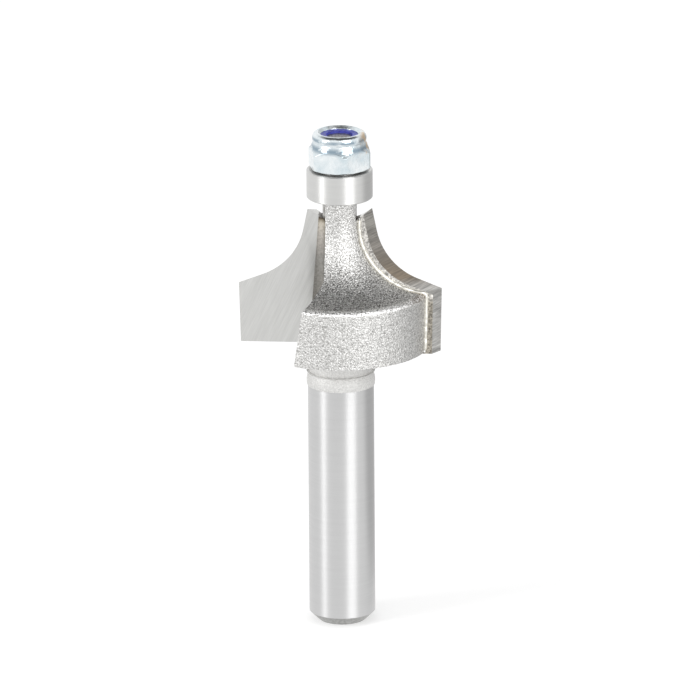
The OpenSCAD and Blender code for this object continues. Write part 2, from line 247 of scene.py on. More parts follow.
def colour_by_height(tree, place, stops):
    """A colour that changes up the axis, from stops of millimetres above the tips' corner and a colour."""
    low, high = stops[0][0], stops[-1][0]
    height = axes_of(tree, place)["Z"]
    share = remap(tree, height, CORNER_Z + low * MM, CORNER_Z + high * MM)
    ramp = node(tree, "ShaderNodeValToRGB", {0: share})
    marks = ramp.color_ramp.elements
    while len(marks) < len(stops):
        marks.new(1.0)
    for index, (at, colour) in enumerate(stops):
        marks[index].position = (at - low) / (high - low)
        marks[index].color = (*colour, 1.0)
    return ramp.outputs[0]


def behind_seam(tree, place):
    """How far a place lies behind the seam on its own side of the axis."""
    parts = axes_of(tree, place)
    side = math_node(tree, "SIGN", parts["X"])
    own = node(tree, "ShaderNodeCombineXYZ", {
        "X": math_node(tree, "ABSOLUTE", parts["X"]), "Y": times(tree, parts["Y"], side), "Z": parts["Z"]})
    along = vector_node(tree, "DOT_PRODUCT", own.outputs[0], SEAM_NORMAL)
    return math_node(tree, "SUBTRACT", along, SEAM_POINT.dot(SEAM_NORMAL))


# Effects that several finishes share

def shared_group(name, inputs, outputs):
    """An empty node group, with its inputs as name and start value and its outputs as names."""
    tree = bpy.data.node_groups.new(name, "ShaderNodeTree")
    for label, value in inputs.items():
        is_vector = isinstance(value, tuple)
        kind = "NodeSocketVector" if is_vector else "NodeSocketFloat"
        tree.interface.new_socket(label, in_out="INPUT", socket_type=kind).default_value = value
    for label in outputs:
        tree.interface.new_socket(label, in_out="OUTPUT", socket_type="NodeSocketFloat")
    return tree, node(tree, "NodeGroupInput").outputs, node(tree, "NodeGroupOutput").inputs


def place_group(tree, shared, inputs):
    """A shared effect placed in a material, with its inputs given as values or as sockets to link."""
    return node(tree, "ShaderNodeGroup", inputs, node_tree=shared).outputs


def make_blast_group():
    """Sandblasted grain: a mask of sparkling facets and a height for the bump."""
    tree, given, result = shared_group(
        "Blasted grain", {"Place": (0.0, 0.0, 0.0), "Scale": 6500.0, "Contrast": 1.0}, ["Sparkle", "Height"])
    fine = noise_of(tree, given["Place"], given["Scale"], 1.5, 0.65)
    coarse = noise_of(tree, given["Place"], times(tree, given["Scale"], 0.45), 1.0)
    both = blended(tree, fine, coarse, 0.9)
    centred = math_node(tree, "SUBTRACT", both, 0.5)
    strong = times(tree, centred, given["Contrast"], 3.2)
    lifted = node(tree, "ShaderNodeClamp", {"Value": math_node(tree, "ADD", strong, 0.5)})
    tree.links.new(lifted.outputs[0], result["Sparkle"])
    tree.links.new(both, result["Height"])
    return tree


def make_lines_group():
    """Fine lines that a grinding wheel leaves, along the axis that the place is least scaled on."""
    tree, given, result = shared_group(
        "Grinding lines", {"Place": (0.0, 0.0, 0.0), "Strength": 1.0}, ["Lines"])
    fine = noise_of(tree, given["Place"], 1.0, 3.0, 0.6)
    wide = noise_of(tree, given["Place"], 0.21, 1.0)
    centred = math_node(tree, "SUBTRACT", blended(tree, fine, wide, 0.65), 0.5)
    strong = times(tree, centred, given["Strength"])
    tree.links.new(math_node(tree, "ADD", strong, 0.5), result["Lines"])
    return tree


def make_stain_group():
    """Soft-edged stains, such as heat tint and flux: a mask that covers a given share."""
    tree, given, result = shared_group(
        "Stains", {"Place": (0.0, 0.0, 0.0), "Scale": 600.0, "Cover": 0.5}, ["Mask"])
    spots = noise_of(tree, given["Place"], given["Scale"], 4.0, 0.65)
    above = math_node(tree, "SUBTRACT", spots, rest_of(tree, given["Cover"]))
    tree.links.new(remap(tree, above, -0.06, 0.1, smooth=True), result["Mask"])
    return tree


BLAST = make_blast_group()
LINES = make_lines_group()
STAINS = make_stain_group()


def grain_of(tree, place, scale, contrast):
    """The blasted grain's outputs, Sparkle and Height."""
    return place_group(tree, BLAST, {"Place": place, "Scale": scale, "Contrast": contrast})


def lines_of(tree, place, strength):
    return place_group(tree, LINES, {"Place": place, "Strength": strength})["Lines"]


def stains_of(tree, place, scale, cover):
    return place_group(tree, STAINS, {"Place": place, "Scale": scale, "Cover": cover})["Mask"]


# Finishes

# Linear colours. The scales of grain, lines and clouds below are in waves a metre
STEEL_DARK = (0.56, 0.56, 0.56)
STEEL_LIGHT = (0.68, 0.68, 0.68)
FOOT_DARK = (0.28, 0.28, 0.27)
FOOT_LIGHT = (0.50, 0.50, 0.49)
BLAST_DARK = (0.24, 0.235, 0.225)
BLAST_LIGHT = (0.95, 0.945, 0.93)
# Painted shade: the dark that the grain's troughs go to on faces that look up
PAINTED_SHADE_DARK = (0.05, 0.046, 0.04)
# Painted highlight: near white on the wings' rims
RIM_PAINTED_HIGHLIGHT = (1.0, 0.995, 0.985)
RIM_DIRT = (0.16, 0.115, 0.075)
COLLAR_GREY = (0.74, 0.735, 0.72)
FLUX_BROWN = (0.34, 0.27, 0.19)
TIP_ROOT_BROWN = (0.08, 0.06, 0.045)
ZINC_DARK = (0.66, 0.75, 0.79)
ZINC_LIGHT = (0.92, 0.955, 0.965)
# Painted shade: blue-grey patches round the nut's dome and under its rim
PAINTED_SHADE_BLUE = (0.17, 0.26, 0.34)
STAIN_TAN = (0.72, 0.50, 0.28)
NYLON_DARK = (0.02, 0.018, 0.20)
NYLON_LIGHT = (0.09, 0.11, 0.58)
BRASS_DARK = (0.50, 0.36, 0.14)
BRASS_LIGHT = (0.80, 0.62, 0.30)

# How strongly turned steel draws a lamp out, and the quarter of a turn that draws it up and down
TURNED_STRETCH = 0.85
QUARTER_TURN = 0.25

# The way across a ground land: its turn from square to the rake face, and its fall, in degrees
LAND_TURN = 41
LAND_TILT = 7

# Lean of the wheel's marks on a rake face, in degrees, and how round the zinc leaves the nut's edges
RAKE_LEAN = 24
ZINC_ROUNDING = 0.06 * MM


def finish_of(name, metallic=1.0, anisotropic=0.0):
    """A new material with its shader, its tree and the place on the object."""
    material = bpy.data.materials.new(name)
    material.use_nodes = True
    tree = material.node_tree
    shader = tree.nodes["Principled BSDF"]
    shader.inputs["Metallic"].default_value = metallic
    shader.inputs["Anisotropic"].default_value = anisotropic
    return material, tree, shader, node(tree, "ShaderNodeTexCoord").outputs["Object"]


def set_finish(tree, shader, colour, mask, dull, bright):
    """Gives a shader its colour, and a roughness that goes from dull to bright with a mask."""
    tree.links.new(colour, shader.inputs["Base Color"])
    tree.links.new(remap(tree, mask, 0.0, 1.0, dull, bright), shader.inputs["Roughness"])


def bump(tree, shader, height, strength, depth, normal=None):
    """Gives a shader the relief of a height, on its own normal or on one that is given."""
    inputs = {"Height": height, "Strength": strength, "Distance": depth}
    if normal is not None:
        inputs["Normal"] = normal
    made = node(tree, "ShaderNodeBump", inputs)
    tree.links.new(made.outputs[0], shader.inputs["Normal"])


def turned_tangent(tree, shader):
    """Points the fine grooves round the axis, so that a lamp is drawn out up and down."""
    tangent = node(tree, "ShaderNodeTangent", direction_type="RADIAL", axis="Z")
    tree.links.new(tangent.outputs[0], shader.inputs["Tangent"])
    shader.inputs["Anisotropic Rotation"].default_value = QUARTER_TURN


def ground_steel():
    """Shank, centreless ground: faint rings, and a duller bevel round the foot."""
    material, tree, shader, place = finish_of("ground_steel", anisotropic=TURNED_STRETCH)
    lines = lines_of(tree, stretched(tree, place, (350.0, 350.0, 14000.0)), 0.8)
    grain = grain_of(tree, place, 5200.0, 0.8)
    is_foot = remap(tree, axes_of(tree, place)["Z"], FOOT_TOP, FOOT_TOP - 0.06 * MM)
    ground = mix_colour(tree, lines, STEEL_DARK, STEEL_LIGHT)
    foot = mix_colour(tree, grain["Sparkle"], FOOT_DARK, FOOT_LIGHT)
    set_finish(tree, shader, mix_colour(tree, is_foot, ground, foot), lines, 0.40, 0.34)
    bump(tree, shader, lines, 0.15, 0.01 * MM)
    turned_tangent(tree, shader)
    return material


def rim_highlight_and_dirt(tree, colour, sparkle, on_rim, gap, behind):
    """The rim of a wing on a colour: a painted highlight, near white on the grain's peaks, and browned
    behind the tip.
    """
    painted_highlight_on_rim = mix_colour(tree, times(tree, on_rim, remap(tree, sparkle, 0.25, 0.6)), colour, RIM_PAINTED_HIGHLIGHT)
    browned = times(tree, behind, remap(tree, gap, 1.2 * MM, 4.0 * MM, 0.85, 0.0))
    dirt = times(tree, on_rim, browned, remap(tree, sparkle, 0.35, 0.75, 1.0, 0.25))
    return mix_colour(tree, dirt, painted_highlight_on_rim, RIM_DIRT)


def flux_beside_seam(tree, place, height, gap, behind):
    """How much flux covers a wing beside its seam."""
    near = times(tree, behind, remap(tree, gap, 0.05 * MM, 0.25 * MM, 1.0, 0.0, smooth=True))
    on_wing = times(tree, remap(tree, height, WING_LOW, WING_LOW + 0.3 * MM),
                    remap(tree, height, BEAD_TOP, BEAD_TOP + 0.2 * MM, 1.0, 0.0))
    return times(tree, near, on_wing, stains_of(tree, place, 900.0, 0.5), 0.45)


def blasted_steel():
    """Head of the cutter, sandblasted after the tips are brazed on, with flux left beside the solder."""
    material, tree, shader, place = finish_of("blasted_steel")
    height = axes_of(tree, place)["Z"]
    upward = axes_of(tree, node(tree, "ShaderNodeTexCoord").outputs["Normal"])["Z"]
    reach = vector_node(tree, "LENGTH", vector_node(tree, "MULTIPLY", place, (1.0, 1.0, 0.0)))
    gap = behind_seam(tree, place)
    grain = grain_of(tree, place, 7200.0, remap(tree, upward, 0.15, 0.75, 0.68, 0.9))
    sparkle = grain["Sparkle"]

    in_collar = remap(tree, height, WING_LOW + 0.02 * MM, WING_LOW - 0.1 * MM)
    behind = remap(tree, gap, -0.4 * MM, -0.2 * MM)
    on_rim = times(tree, remap(tree, upward, 0.1, 0.4),
                   remap(tree, reach, WING_REACH - 0.75 * MM, WING_REACH - 0.45 * MM))
    # Painted shade: faces that look up, off the rim, get darker troughs in the grain and are dimmed by a
    # tenth
    faces_up_painted_shade = times(tree, remap(tree, upward, 0.3, 0.8), rest_of(tree, on_rim))

    grain_with_painted_shade = mix_colour(tree, faces_up_painted_shade, BLAST_DARK, PAINTED_SHADE_DARK)
    shaded = varied(tree, mix_colour(tree, sparkle, grain_with_painted_shade, BLAST_LIGHT), faces_up_painted_shade, 1.0, 0.9)
    # Painted highlight: the rim goes near white on the grain's peaks; behind the tip it is browned
    with_rim_highlight_and_dirt = rim_highlight_and_dirt(tree, shaded, sparkle, on_rim, gap, behind)
    clean = mix_colour(tree, in_collar, with_rim_highlight_and_dirt, varied(tree, COLLAR_GREY, sparkle, 0.84, 1.14))
    flux = flux_beside_seam(tree, place, height, gap, behind)
    tree.links.new(mix_colour(tree, flux, clean, FLUX_BROWN), shader.inputs["Base Color"])

    bare = rest_of(tree, times(tree, in_collar, 0.55))
    polished = remap(tree, sparkle, 0.5, 1.0, 1.0, 0.8)
    tree.links.new(times(tree, bare, polished), shader.inputs["Metallic"])
    rough = remap(tree, sparkle, 0.0, 1.0, 0.44, 0.34)
    soft = math_node(tree, "ADD", rough, times(tree, in_collar, 0.2))
    tree.links.new(soft, shader.inputs["Roughness"])
    strength = times(tree, remap(tree, upward, 0.15, 0.75, 0.9, 0.75),
                     remap(tree, in_collar, 0.0, 1.0, 1.0, 0.5))
    bump(tree, shader, grain["Height"], strength, 0.12 * MM)
    return material


def flute_steel_painted_shade():
    """Root of a flute, which the blast hardly reaches: matt, with painted shade that darkens it down into
    the root, and browned by flux towards the top.
    """
    material, tree, shader, place = finish_of("flute_steel_painted_shade")
    # Painted shade: darker down into the root. Tan higher up, nearly black a little below the top, and pale
    # above that
    shade = colour_by_height(tree, place, [
        (-1.4, (0.24, 0.23, 0.21)), (0.6, (0.27, 0.26, 0.24)), (2.6, (0.30, 0.29, 0.27)),
        (4.1, (0.40, 0.375, 0.345)), (5.1, (0.47, 0.44, 0.40)), (6.3, (0.57, 0.525, 0.447)),
        (6.6, (0.30, 0.26, 0.20)), (6.8, (0.07, 0.055, 0.04)), (7.2, (0.62, 0.61, 0.59))])
    grain = grain_of(tree, place, 4200.0, 0.8)
    colour = varied(tree, shade, grain["Sparkle"], 0.8, 1.2)
    set_finish(tree, shader, colour, grain["Sparkle"], 0.5, 0.38)
    bump(tree, shader, grain["Height"], 0.6, 0.03 * MM)
    return material


def stud_steel():
    """End of the stud inside the nut, matt from the saw and the thread."""
    material, tree, shader, place = finish_of("stud_steel")
    grain = grain_of(tree, place, 4200.0, 1.0)
    colour = mix_colour(tree, grain["Sparkle"], (0.24, 0.23, 0.22), (0.62, 0.61, 0.59))
    set_finish(tree, shader, colour, grain["Sparkle"], 0.55, 0.4)
    bump(tree, shader, grain["Height"], 0.6, 0.04 * MM)
    return material


def carbide_rake(turn):
    """Fine marks of the wheel, leaning from upright, on the face that leads the cut."""
    material, tree, shader, place = finish_of("carbide_rake_%d" % turn)
    own = stretched(tree, place, (1.0, 1.0, 1.0), (0, 0, turn))
    lines = lines_of(tree, stretched(tree, own, (11000.0, 300.0, 450.0), (0, RAKE_LEAN, 0)), 1.3)
    ground = mix_colour(tree, lines, (0.52, 0.52, 0.505), (0.74, 0.74, 0.725))
    parts = axes_of(tree, place)
    # Painted shade: a little darker towards the flute, inward and round the middle of its height
    outward = remap(tree, math_node(tree, "ABSOLUTE", parts["X"]), 2.2 * MM, 3.4 * MM, smooth=True)
    above_or_below = rest_of(tree, band(tree, parts["Z"], CORNER_Z + 1.5 * MM, 4.0 * MM))
    clear_of_painted_flute_shade = math_node(tree, "MAXIMUM", outward, above_or_below)
    set_finish(tree, shader, varied(tree, ground, clear_of_painted_flute_shade, 0.7, 1.0), lines, 0.38, 0.28)
    bump(tree, shader, lines, 0.25, 0.01 * MM)
    return material


def carbide_land(turn):
    """Coarse marks across the ground land behind the cutting edge: brown in the arc, pale at the corner."""
    material, tree, shader, place = finish_of("carbide_land_%d" % turn, metallic=0.35)
    own = stretched(tree, place, (1.0, 1.0, 1.0), (0, 0, turn + LAND_TURN))
    lines = lines_of(tree, stretched(tree, own, (7500.0, 300.0, 7500.0), (-LAND_TILT, 0, 0)), 2.2)
    shade = colour_by_height(tree, place, [
        (-1.2, (0.41, 0.405, 0.39)), (-0.1, (0.31, 0.305, 0.29)), (0.05, (0.50, 0.49, 0.47)),
        (0.5, (0.47, 0.45, 0.42)), (1.1, (0.25, 0.205, 0.155)), (2.3, (0.165, 0.14, 0.11)),
        (4.0, (0.20, 0.185, 0.167)), (6.5, (0.265, 0.255, 0.235))])
    set_finish(tree, shader, varied(tree, shade, lines, 0.3, 1.65), lines, 0.45, 0.33)
    bump(tree, shader, lines, 0.4, 0.015 * MM)
    return material


def carbide_back(turn):
    """The unground back of a tip, blasted with the body: brown beside the wing, bright at the corner."""
    material, tree, shader, place = finish_of("carbide_back_%d" % turn)
    grain = grain_of(tree, place, 5600.0, 1.0)
    shade = colour_by_height(tree, place, [
        (-1.2, (0.33, 0.305, 0.26)), (-0.5, (0.72, 0.70, 0.66)), (0.6, (0.58, 0.565, 0.535)),
        (4.0, (0.50, 0.485, 0.46)), (7.0, (0.56, 0.545, 0.515))])
    colour = varied(tree, shade, grain["Sparkle"], 0.45, 1.5)
    set_finish(tree, shader, colour, grain["Sparkle"], 0.6, 0.45)
    bump(tree, shader, grain["Height"], 0.8, 0.05 * MM)
    return material


def carbide_top(turn):
    """The short ground top of a tip, finer than its land, and browned at its inner end."""
    material, tree, shader, place = finish_of("carbide_top_%d" % turn)
    lines = lines_of(tree, stretched(tree, place, (400.0, 9000.0, 400.0)), 1.0)
    side = math_node(tree, "ABSOLUTE", axes_of(tree, place)["X"])
    inner = remap(tree, side, 1.8 * MM, 2.1 * MM, 1.0, 0.0)
    ground = mix_colour(tree, lines, (0.76, 0.76, 0.74), (0.94, 0.94, 0.92))
    set_finish(tree, shader, mix_colour(tree, inner, ground, TIP_ROOT_BROWN), lines, 0.3, 0.2)
    bump(tree, shader, lines, 0.2, 0.01 * MM)
    return material


def silver_solder():
    """Bright solder that has flowed and set, a little wavy."""
    material, tree, shader, place = finish_of("silver_solder")
    grain = grain_of(tree, place, 2600.0, 0.5)
    colour = mix_colour(tree, grain["Sparkle"], (0.93, 0.93, 0.92), (1.0, 1.0, 0.995))
    set_finish(tree, shader, colour, grain["Sparkle"], 0.3, 0.18)
    bump(tree, shader, grain["Height"], 0.4, 0.05 * MM)
    return material


def ring_steel(name, dark, light, roughness):
    """Steel with fine rings round the axis, for the bearing's rings, balls and shields and the washer."""
    material, tree, shader, place = finish_of(name, anisotropic=TURNED_STRETCH)
    lines = lines_of(tree, stretched(tree, place, (350.0, 350.0, 16000.0)), 0.9)
    set_finish(tree, shader, mix_colour(tree, lines, dark, light), lines, roughness + 0.05, roughness)
    bump(tree, shader, lines, 0.2, 0.01 * MM)
    turned_tangent(tree, shader)
    return material


def zinc_plate():
    """Bright zinc over a pressed nut: bluish and uneven, with painted shade in patches round the dome and
    under the rim.
    """
    material, tree, shader, place = finish_of("zinc_plate")
    clouds = noise_of(tree, place, 900.0, 3.0)
    base = mix_colour(tree, remap(tree, clouds, 0.3, 0.7), ZINC_DARK, ZINC_LIGHT)
    parts = axes_of(tree, place)
    # Painted shade: dark blue-grey patches round the dome and under the rim
    round_dome = band(tree, parts["Z"], DOME_Z, 0.5 * MM)
    under_rim = band(tree, parts["Z"], UNDER_RIM_Z, 0.3 * MM)
    spots = stains_of(tree, stretched(tree, place, (1.0, 1.0, 1.6)), 700.0, 0.6)
    dull = times(tree, spots, math_node(tree, "MAXIMUM", round_dome, under_rim), 0.8)
    zinc_with_painted_shade = mix_colour(tree, dull, base, PAINTED_SHADE_BLUE)
    beside_dome = times(tree, remap(tree, parts["X"], 1.9 * MM, 2.4 * MM, smooth=True),
                        remap(tree, parts["Z"], NUT_LOW + 1.5 * MM, NUT_LOW + 1.8 * MM))
    tanned = times(tree, stains_of(tree, place, 950.0, 0.48), beside_dome, 0.8)
    tree.links.new(mix_colour(tree, tanned, zinc_with_painted_shade, STAIN_TAN), shader.inputs["Base Color"])
    tree.links.new(remap(tree, clouds, 0.3, 0.7, 0.14, 0.24), shader.inputs["Roughness"])
    uneven = noise_of(tree, place, 1500.0, 2.0)
    rounded = node(tree, "ShaderNodeBevel", {"Radius": ZINC_ROUNDING}, samples=6)
    bump(tree, shader, uneven, 0.4, 0.12 * MM, rounded.outputs[0])
    return material


def blue_nylon():
    """Moulded nylon, scuffed by the thread."""
    material, tree, shader, place = finish_of("blue_nylon", metallic=0.0)
    clouds = noise_of(tree, place, 1800.0, 4.0)
    colour = mix_colour(tree, remap(tree, clouds, 0.3, 0.7), NYLON_DARK, NYLON_LIGHT)
    tree.links.new(colour, shader.inputs["Base Color"])
    tree.links.new(remap(tree, clouds, 0.3, 0.7, 0.28, 0.45), shader.inputs["Roughness"])
    bump(tree, shader, clouds, 0.3, 0.05 * MM)
    return material


def cage_brass():
    """Turned brass of the cage that spaces the balls."""
    material, tree, shader, place = finish_of("cage_brass")
    lines = lines_of(tree, stretched(tree, place, (500.0, 500.0, 12000.0)), 1.0)
    set_finish(tree, shader, mix_colour(tree, lines, BRASS_DARK, BRASS_LIGHT), lines, 0.4, 0.25)
    return material


# Places of the finishes among a piece's materials: the cutter's, a tip's and a seam's
ON_SHANK, ON_HEAD, ON_STUD, IN_FLUTE = range(4)
ON_LAND, ON_RAKE, ON_BACK, ON_TOP = range(4)
# A seam's bright solder, and the flute's steel with its painted shade
BRIGHT, FLUTE_SHADE_PAINTED = range(2)


def in_flute_root(face):
    """Whether a face of the body is the floor, the rounded root or the core wall of a flute."""
    side = math.copysign(1.0, face.center.x)
    centre = Vector((face.center.x * side, face.center.y * side, face.center.z))
    is_deep = RAKE_DEPTH - FLUTE_DEPTH < depth_in_seam(centre) < RAKE_DEPTH + 2 * SLACK
    is_inside = CORE_HALF - SLACK < centre.x < TIP_INNER and centre.z > WING_LOW
    return is_deep and is_inside and abs(face.normal.z) < HARDLY_UP


def in_notch(face):
    """Whether a face is the sloping floor of a notch beside the neck."""
    return face.normal.z > MOSTLY_UP and TIP_HIGH - NOTCH_DROP < face.center.z < TIP_HIGH


def cutter_finish(face):
    """Which finish a face of the cutter's body has."""
    if in_flute_root(face) or in_notch(face):
        return IN_FLUTE
    if face.center.z > BEARING_LOW + SLACK:
        return ON_STUD
    return ON_HEAD if face.center.z > SHANK_TOP else ON_SHANK


def tip_finish(face, rake):
    """Which finish a face of a tip has, by the way that it looks. Its rake face looks along rake."""
    if face.normal.z > MOSTLY_UP and face.center.z > TIP_HIGH - TOP_DROP:
        return ON_TOP
    along = face.normal.dot(rake)
    if abs(along) > TIP_SQUARE:
        return ON_RAKE if along > 0 else ON_BACK
    return ON_LAND


def set_materials(piece, materials):
    """Puts materials on a piece in place of what it has."""
    piece.data.materials.clear()
    for material in materials:
        piece.data.materials.append(material)


def dress(names, material):
    """Gives CAD nodes one finish."""
    for name in names:
        piece = SHOWN[name]
        set_materials(piece, [material])


def dress_cutter():
    """Gives the shank, the head, the stud and the flutes of the body each their own finish."""
    piece = SHOWN["cutter_body"]
    set_materials(piece, [ground_steel(), blasted_steel(), stud_steel(), flute_steel_painted_shade()])
    for face in piece.data.polygons:
        face.material_index = cutter_finish(face)


def dress_tip(name, turn):
    """Gives each face of a tip its own finish."""
    piece = NODES[name]
    set_materials(piece, [carbide_land(turn), carbide_rake(turn), carbide_back(turn), carbide_top(turn)])
    rake = Matrix.Rotation(math.radians(turn), 3, "Z") @ Vector((0, 1, 0))
    for face in piece.data.polygons:
        face.material_index = tip_finish(face, rake)


def dress_seams():
    """Gives each seam its solder, and the flute's steel with its painted shade where it shows beside the
    rake face or in a notch.
    """
    dull = bpy.data.materials["flute_steel_painted_shade"]
    dress(("braze_seam_a", "braze_seam_b"), silver_solder())
    for name, way in (("braze_seam_a", 1), ("braze_seam_b", -1)):
        piece = SHOWN[name]
        piece.data.materials.append(dull)
        for face in piece.data.polygons:
            beside_rake = face.normal.dot(Vector((0, way, 0))) > SEAM_SQUARE
            face.material_index = FLUTE_SHADE_PAINTED if beside_rake or in_notch(face) else BRIGHT


def dress_all():
    """Dresses every node. The cutter comes before the seams, which share its flute steel with its painted
    shade.
    """
    dress_cutter()
    dress_tip("carbide_tip_a", 0)
    dress_tip("carbide_tip_b", 180)
    dress_seams()
    ring = ring_steel("bearing_steel", (0.60, 0.60, 0.59), (0.74, 0.74, 0.73), 0.36)
    dress(("inner_race", "outer_race"), ring)
    ball = ring_steel("ball_steel", (0.70, 0.70, 0.71), (0.80, 0.80, 0.81), 0.08)
    dress([name for name in NODES if name.startswith("ball_") and name != "ball_cage"], ball)
    dress(["ball_cage"], cage_brass())
    shield = ring_steel("shield_steel", (0.40, 0.40, 0.39), (0.58, 0.58, 0.57), 0.4)
    shields = ("lower_shield", "upper_shield", "lower_shield_ring", "upper_shield_ring")
    dress(shields, shield)
    washer = ring_steel("washer_steel", (0.30, 0.28, 0.25), (0.50, 0.48, 0.45), 0.45)
    dress(["spacer_washer"], washer)
    dress(["lock_nut"], zinc_plate())
    dress(["nylon_insert"], blue_nylon())


# Closed shapes from rings of points

def bridge(shape, one, other):
    """Adds the faces all round between two rings of points."""
    for index in range(len(one)):
        nxt = (index + 1) % len(one)
        shape.faces.new((one[index], one[nxt], other[nxt], other[index]))


def mesh_of(shape, name, turn):
    """The mesh of a closed shape, turned round the axis by degrees."""
    bmesh.ops.recalc_face_normals(shape, faces=shape.faces)
    mesh = bpy.data.meshes.new(name)
    shape.to_mesh(mesh)
    shape.free()
    mesh.transform(Matrix.Rotation(math.radians(turn), 4, "Z"))
    return mesh


# Flats that the grinding of the tips' tops leaves on the neck

def make_notch(turn):
    """The room that the wheel clears beside the neck, from the slope of a tip's top up to the bearing."""
    slope = math.tan(math.radians(TIP_TOP_SLOPE))
    top = BEARING_LOW + NOTCH_OVER
    outline = [(NECK_HALF, top)]
    outline += [(x, TIP_HIGH - (TIP_TOP_R - x) * slope) for x in (NECK_HALF, NOTCH_REACH)]
    outline += [(NOTCH_REACH, top)]
    shape = bmesh.new()
    ends = [[shape.verts.new((x, y, z)) for x, z in outline] for y in (-NOTCH_REACH, NOTCH_REACH)]
    for end in ends:
        shape.faces.new(end)
    bridge(shape, *ends)
    return add_object("notch", mesh_of(shape, "notch", turn))


def carry_normals(mesh, source):
    """Gives a cut mesh its source's smooth normals, and flat ones on the faces that the cuts made."""
    spots = [vertex.co for vertex in source.vertices]
    triangles = [list(face.vertices) for face in source.polygons]
    surface = BVHTree.FromPolygons(spots, triangles)
    normals = [None] * len(mesh.loops)
    for face in mesh.polygons:
        nearest, away = surface.find_nearest(face.center)[2:]
        parent = source.polygons[nearest]
        is_cut = away > SAME_PLACE or parent.normal.dot(face.normal) < SAME_WAY
        corners = [source.vertices[one].co for one in parent.vertices]
        smooth = [source.corner_normals[one].vector for one in parent.loop_indices]
        for index in face.loop_indices:
            spot = mesh.vertices[mesh.loops[index].vertex_index].co
            known = [way for corner, way in zip(corners, smooth) if (corner - spot).length < SAME_PLACE]
            if is_cut:
                normals[index] = face.normal.copy()
            elif known:
                normals[index] = known[0].copy()
            else:
                normals[index] = barycentric_transform(spot, *corners, *smooth).normalized()
    mesh.normals_split_custom_set(normals)


def cut_notches(name, notches):
    """A piece that stands for a CAD node, with the notches beside the neck cut out of it."""
    source = add_object(name + "_source", NODES[name].data.copy())
    for notch in notches:
        cut = source.modifiers.new("notch", "BOOLEAN")
        cut.operation = "DIFFERENCE"
        cut.solver = "EXACT"
        cut.object = notch
    bpy.context.view_layer.update()
    mesh = bpy.data.meshes.new_from_object(source.evaluated_get(bpy.context.evaluated_depsgraph_get()))
    carry_normals(mesh, source.data)
    bpy.data.objects.remove(source)
    piece = add_object(name + "_notched", mesh)
    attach(piece, "cutter")
    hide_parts(name)
    return piece


def cut_neck():
    """Cuts both notches out of the body, and out of the seams, whose upper ends the wheel meets too."""
    notches = [make_notch(turn) for turn in (0, 180)]
    for name in ("cutter_body", "braze_seam_a", "braze_seam_b"):
        SHOWN[name] = cut_notches(name, notches)
    for notch in notches:
        bpy.data.objects.remove(notch)


# Solder bead along the outside of each seam

# Its radius, how far its middle lies outside the seam, its spread across it, and its steps and sides
BEAD_R = 0.2 * MM
BEAD_LIFT = 0.05 * MM
BEAD_SPREAD = 1.1
BEAD_STEPS = 260
BEAD_SIDES = 12

# How far it swells, as a share of its radius, and how far it sways, with the waves in each step and
# where in the noise each starts
BEAD_SWELL = 0.3
SWELL_WAVES = 0.11
SWELL_START = (2.3, 0.7)
BEAD_SWAY = 0.04 * MM
SWAY_WAVES = 0.16
SWAY_START = (9.1, 4.2)

# Share of its radius at its ends, and the steps in which it gains a whole radius
BEAD_END = 0.25
BEAD_END_STEPS = 6

# Half of the solder's thickness in a seam
HALF_SOLDER = 0.06 * MM

# Where the fan of rays starts, and where the bead's two ends lie on the seam
FAN_X = 12.0 * MM
FAN_Z = WING_LOW + 10.9 * MM
UPPER_END_X = BEARING_R * 0.6
LOWER_END_Z = WING_LOW + 0.05 * MM


def in_seam(x, z):
    """The place in the middle of the first seam at a distance from the axis plane and a height."""
    middle = SEAM_POINT - SEAM_NORMAL * HALF_SOLDER
    return Vector((x, middle.y - (z - middle.z) * SEAM_NORMAL.z / SEAM_NORMAL.y, z))


def seam_path():
    """Points down the outside of the first seam, found by a fan of rays from beside the hollow."""
    mesh = NODES["braze_seam_a"].data
    spots = [vertex.co for vertex in mesh.vertices]
    surface = BVHTree.FromPolygons(spots, [list(face.vertices) for face in mesh.polygons])
    start = in_seam(FAN_X, FAN_Z)
    first = math.atan2(BEAD_TOP - FAN_Z, UPPER_END_X - FAN_X)
    last = math.atan2(LOWER_END_Z - FAN_Z, WING_REACH - FAN_X)
    if last < 0:
        last += 2 * math.pi
    hits = []
    for step in range(BEAD_STEPS + 1):
        angle = first + (last - first) * step / BEAD_STEPS
        aim = in_seam(FAN_X + math.cos(angle), FAN_Z + math.sin(angle)) - start
        hit = surface.ray_cast(start, aim)[0]
        if hit is not None:
            hits.append(hit)
    return hits


def evenly(points, count):
    """The same line with its points at equal distances."""
    lengths = [0.0]
    for before, after in zip(points, points[1:]):
        lengths.append(lengths[-1] + (after - before).length)
    placed = []
    at = 0
    for step in range(count + 1):
        wanted = lengths[-1] * step / count
        while at < len(points) - 2 and lengths[at + 1] < wanted:
            at += 1
        span = lengths[at + 1] - lengths[at]
        placed.append(points[at].lerp(points[at + 1], (wanted - lengths[at]) / span if span else 0.0))
    return placed


